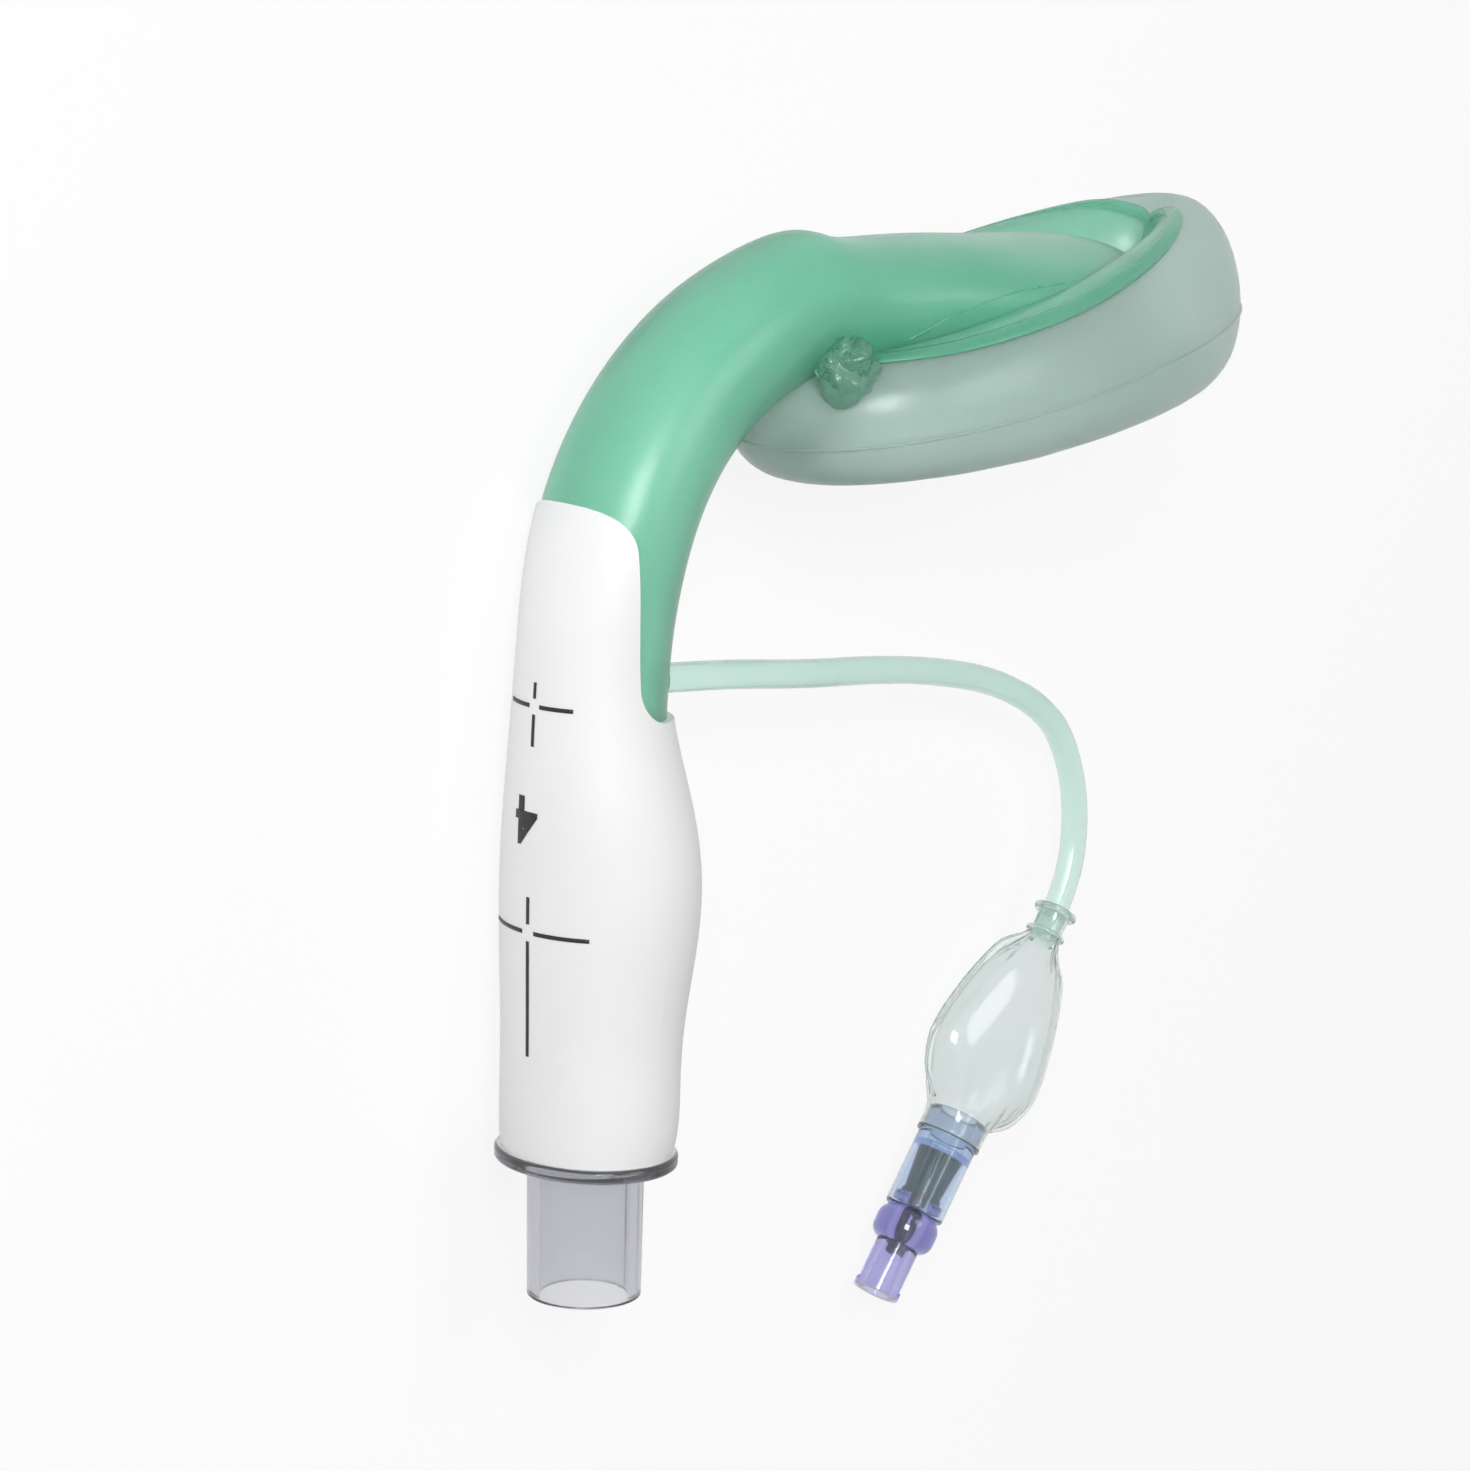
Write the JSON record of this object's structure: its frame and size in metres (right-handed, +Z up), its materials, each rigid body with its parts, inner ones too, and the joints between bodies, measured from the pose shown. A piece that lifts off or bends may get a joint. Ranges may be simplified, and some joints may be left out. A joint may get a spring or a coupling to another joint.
{
  "type": "laryngeal mask airway",
  "caption": "Curved airway tube with mask bowl, inflatable ring cuff, bite housing, conical connector, and pilot line with balloon and sprung check valve.",
  "frame": {"origin": "centre of the underside of the bounding box of the airway as it lies on a table on its side, measured without the pilot line, balloon and valve", "axes": "+Z up; +Y from the connector along the bite housing towards the bend; +X from the back of the tube towards the mask's open side and the pilot line"},
  "size_m": [0.1609, 0.1749, 0.0512],
  "materials": {
    "tube_pvc": "gloss",
    "cuff_pvc": "gloss",
    "housing_plastic": "satin",
    "clear_plastic": "gloss",
    "pilot_pvc": "gloss",
    "blue_plastic": "gloss",
    "violet_plastic": "gloss",
    "stem_plastic": "satin",
    "crown_rubber": "satin"
  },
  "bodies": {
    "airway": {"airway_tube": "tube_pvc", "cuff": "cuff_pvc", "cuff_inlet": "cuff_pvc", "bite_housing": "housing_plastic", "airway_connector": "clear_plastic", "pilot_tube": "pilot_pvc", "pilot_balloon": "pilot_pvc", "valve_barrel": "blue_plastic", "luer_port": "violet_plastic", "valve_spring": "crown_rubber"},
    "stem": {"valve_stem": "stem_plastic"}
  },
  "joints": [
    {"name": "stem_slide", "type": "slide", "parent": "airway", "child": "stem", "axis": [0.5724, 0.8175, 0.0628], "range_m": [0, 0.0012], "stiffness_N_per_m": 2500, "deforming": ["valve_spring"]}
  ]
}
